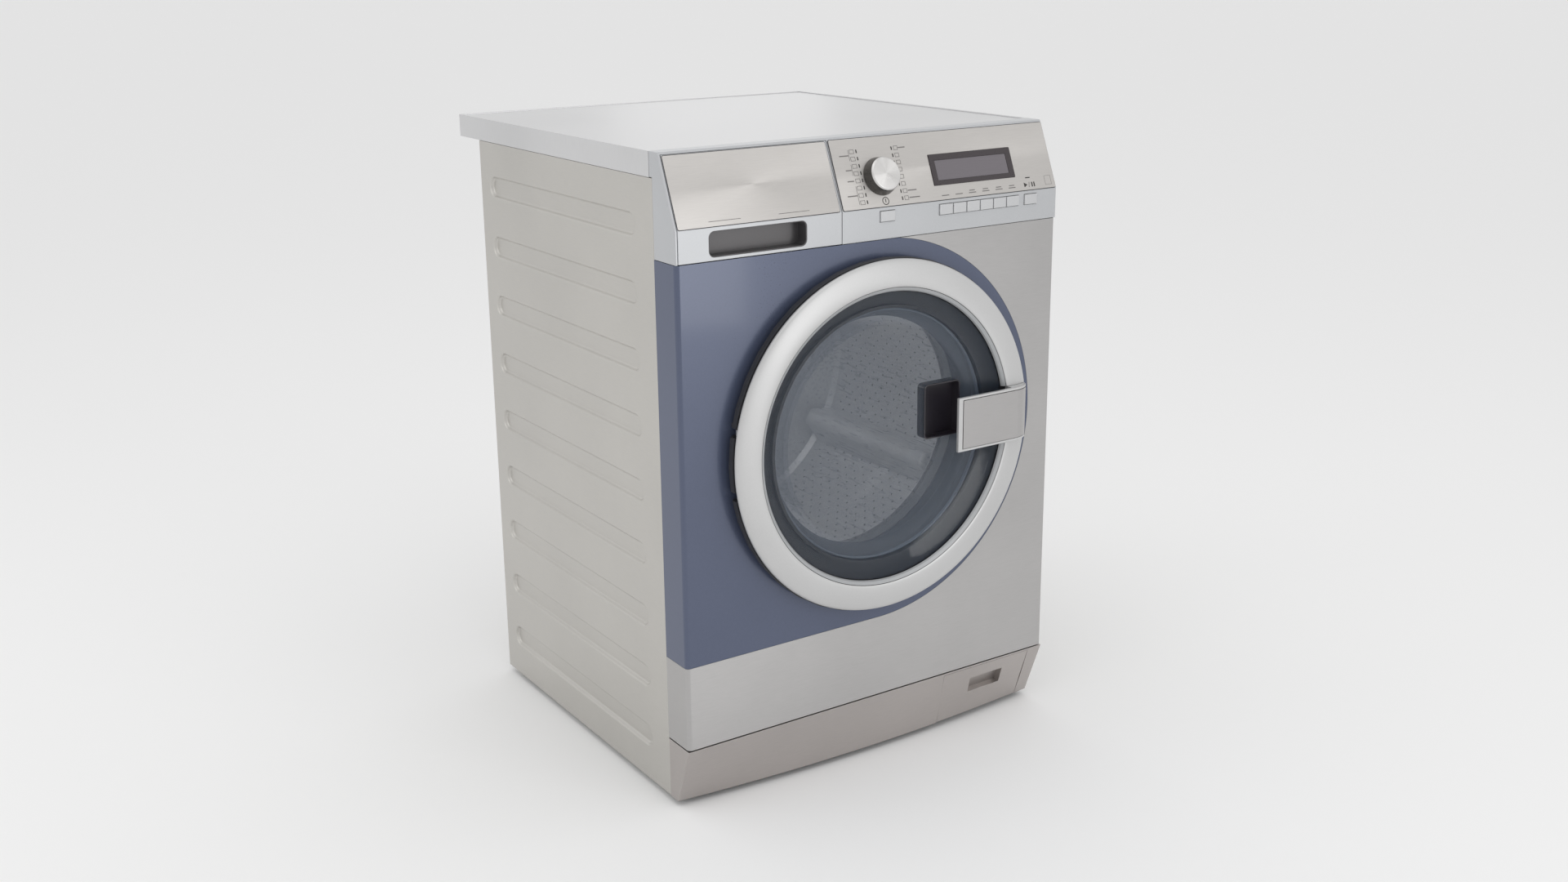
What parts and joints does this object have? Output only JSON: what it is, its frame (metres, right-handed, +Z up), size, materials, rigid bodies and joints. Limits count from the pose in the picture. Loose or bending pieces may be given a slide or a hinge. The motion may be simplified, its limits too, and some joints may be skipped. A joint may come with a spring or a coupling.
{
  "type": "front-loading washing machine",
  "caption": "Front-loading washing machine with a glass porthole door, detergent drawer, program knob and buttons, and a sprung tub, drum and belt drive inside.",
  "frame": {"origin": "middle of the footprint at floor level", "axes": "+Z up, the front with the door faces -Y, +X to the right as seen from the front"},
  "size_m": [0.597, 0.66, 0.85],
  "materials": {
    "side_steel": "satin stainless sheet, warm grey",
    "top_steel": "satin stainless sheet, cool grey",
    "front_steel": "vertically brushed stainless sheet",
    "fascia_steel": "horizontally brushed stainless plate",
    "blue_lacquer": "slate blue gloss lacquer",
    "silver_plastic": "silver painted moulding, satin",
    "ring_silver": "satin silver lacquer on plastic",
    "dark_plastic": "dark grey moulding",
    "display_black": "smoked display cover",
    "tinted_cover": "smoked blue clear plastic",
    "bowl_glass": "clear pressed glass",
    "gasket_rubber": "grey moulded rubber",
    "foot_rubber": "black rubber on a zinc stud",
    "belt_rubber": "black ribbed belt",
    "white_plastic": "off-white polypropylene",
    "grey_plastic": "grey glass-filled polypropylene",
    "concrete": "cast concrete",
    "drum_steel": "bright stainless, perforated",
    "zinc_steel": "zinc plated steel",
    "black_steel": "black enamelled steel",
    "cast_aluminium": "die-cast aluminium"
  },
  "bodies": {
    "cabinet": {"base_tray": "white_plastic", "side_panel_left": "side_steel", "side_panel_right": "side_steel", "rear_panel": "zinc_steel", "worktop": "top_steel", "front_panel": "front_steel", "front_panel_blue": "blue_lacquer", "plinth": "front_steel", "control_panel": "silver_plastic", "control_fascia": "fascia_steel", "display": "display_black", "dispenser_housing": "white_plastic", "drain_pump": "white_plastic", "door_lock": "white_plastic", "hinge_bracket": "zinc_steel", "inlet_valve": "white_plastic", "damper_cylinder_left": "black_steel", "damper_cylinder_right": "black_steel", "door_gasket": "gasket_rubber", "spring_left": "black_steel", "spring_right": "black_steel"},
    "door": {"door_frame": "dark_plastic", "door_ring": "ring_silver", "door_cover": "tinted_cover", "handle_pocket": "dark_plastic", "door_glass": "bowl_glass", "hinge_pin": "zinc_steel"},
    "handle": {"door_handle": "fascia_steel"},
    "drawer": {"drawer_front": "silver_plastic", "drawer_plate": "fascia_steel", "drawer_tray": "white_plastic"},
    "flap": {"filter_flap": "front_steel"},
    "filter": {"filter_cap": "silver_plastic"},
    "tub": {"tub_front": "grey_plastic", "tub_rear": "grey_plastic", "counterweight": "concrete", "heater": "zinc_steel", "bearing_front": "zinc_steel", "bearing_rear": "zinc_steel", "motor": "cast_aluminium", "drive_belt": "belt_rubber", "damper_rod_left": "zinc_steel", "damper_rod_right": "zinc_steel"},
    "drum": {"drum": "drum_steel", "drum_spider": "cast_aluminium", "drum_pulley": "cast_aluminium"},
    "motor_rotor": {"motor_pulley": "zinc_steel"},
    "knob": {"program_knob": "ring_silver"},
    "foot_front_left": {"foot_front_left": "foot_rubber"},
    "foot_front_right": {"foot_front_right": "foot_rubber"},
    "foot_rear_left": {"foot_rear_left": "foot_rubber"},
    "foot_rear_right": {"foot_rear_right": "foot_rubber"},
    "power_button": {"power_button": "silver_plastic"},
    "start_button": {"start_button": "silver_plastic"},
    "option_button_1": {"option_button_1": "silver_plastic"},
    "option_button_2": {"option_button_2": "silver_plastic"},
    "option_button_3": {"option_button_3": "silver_plastic"},
    "option_button_4": {"option_button_4": "silver_plastic"},
    "option_button_5": {"option_button_5": "silver_plastic"},
    "option_button_6": {"option_button_6": "silver_plastic"}
  },
  "joints": [
    {"name": "door_swing", "type": "hinge", "parent": "cabinet", "child": "door", "pos_m": [-0.224, -0.304, 0.467], "axis": [0, 0, -1], "range_deg": [0, 150]},
    {"name": "handle_pull", "type": "hinge", "parent": "door", "child": "handle", "pos_m": [0.222, -0.308, 0.467], "axis": [0, 0, 1], "range_deg": [0, 12], "stiffness_Nm_per_rad": 3},
    {"name": "drawer_slide", "type": "slide", "parent": "cabinet", "child": "drawer", "axis": [0, -1, 0], "range_m": [0, 0.2]},
    {"name": "flap_open", "type": "hinge", "parent": "cabinet", "child": "flap", "pos_m": [0.197, -0.262, 0.014], "axis": [1, 0, 0], "range_deg": [0, 65]},
    {"name": "filter_turn", "type": "hinge", "parent": "cabinet", "child": "filter", "pos_m": [0.197, -0.249, 0.052], "axis": [0, -1, 0], "range_deg": [0, 90]},
    {"name": "tub_bounce", "type": "slide", "parent": "cabinet", "child": "tub", "axis": [0, 0, 1], "range_m": [-0.01, 0.01], "stiffness_N_per_m": 12000, "springref_m": 0.02092, "deforming": ["spring_left", "spring_right"]},
    {"name": "drum_spin", "type": "hinge", "parent": "tub", "child": "drum", "pos_m": [0, 0.111, 0.464], "axis": [0, -1, 0], "continuous": true},
    {"name": "motor_spin", "type": "hinge", "parent": "tub", "child": "motor_rotor", "pos_m": [0.09, 0.171, 0.14], "axis": [0, -1, 0], "continuous": true},
    {"name": "program_turn", "type": "hinge", "parent": "cabinet", "child": "knob", "pos_m": [0.0105, -0.27386, 0.79823], "axis": [0, -0.9256, 0.3784], "continuous": true},
    {"name": "level_front_left", "type": "slide", "parent": "cabinet", "child": "foot_front_left", "axis": [0, 0, 1], "range_m": [-0.012, 0]},
    {"name": "level_front_right", "type": "slide", "parent": "cabinet", "child": "foot_front_right", "axis": [0, 0, 1], "range_m": [-0.012, 0]},
    {"name": "level_rear_left", "type": "slide", "parent": "cabinet", "child": "foot_rear_left", "axis": [0, 0, 1], "range_m": [-0.012, 0]},
    {"name": "level_rear_right", "type": "slide", "parent": "cabinet", "child": "foot_rear_right", "axis": [0, 0, 1], "range_m": [-0.012, 0]},
    {"name": "power_press", "type": "slide", "parent": "cabinet", "child": "power_button", "axis": [0, 1, 0], "range_m": [0, 0.0018], "stiffness_N_per_m": 800},
    {"name": "start_press", "type": "slide", "parent": "cabinet", "child": "start_button", "axis": [0, 1, 0], "range_m": [0, 0.0018], "stiffness_N_per_m": 800},
    {"name": "option_press_1", "type": "slide", "parent": "cabinet", "child": "option_button_1", "axis": [0, 1, 0], "range_m": [0, 0.0018], "stiffness_N_per_m": 800},
    {"name": "option_press_2", "type": "slide", "parent": "cabinet", "child": "option_button_2", "axis": [0, 1, 0], "range_m": [0, 0.0018], "stiffness_N_per_m": 800},
    {"name": "option_press_3", "type": "slide", "parent": "cabinet", "child": "option_button_3", "axis": [0, 1, 0], "range_m": [0, 0.0018], "stiffness_N_per_m": 800},
    {"name": "option_press_4", "type": "slide", "parent": "cabinet", "child": "option_button_4", "axis": [0, 1, 0], "range_m": [0, 0.0018], "stiffness_N_per_m": 800},
    {"name": "option_press_5", "type": "slide", "parent": "cabinet", "child": "option_button_5", "axis": [0, 1, 0], "range_m": [0, 0.0018], "stiffness_N_per_m": 800},
    {"name": "option_press_6", "type": "slide", "parent": "cabinet", "child": "option_button_6", "axis": [0, 1, 0], "range_m": [0, 0.0018], "stiffness_N_per_m": 800}
  ],
  "couplings": [
    {"joint": "motor_spin", "follows": "drum_spin", "ratio": 12.727}
  ]
}
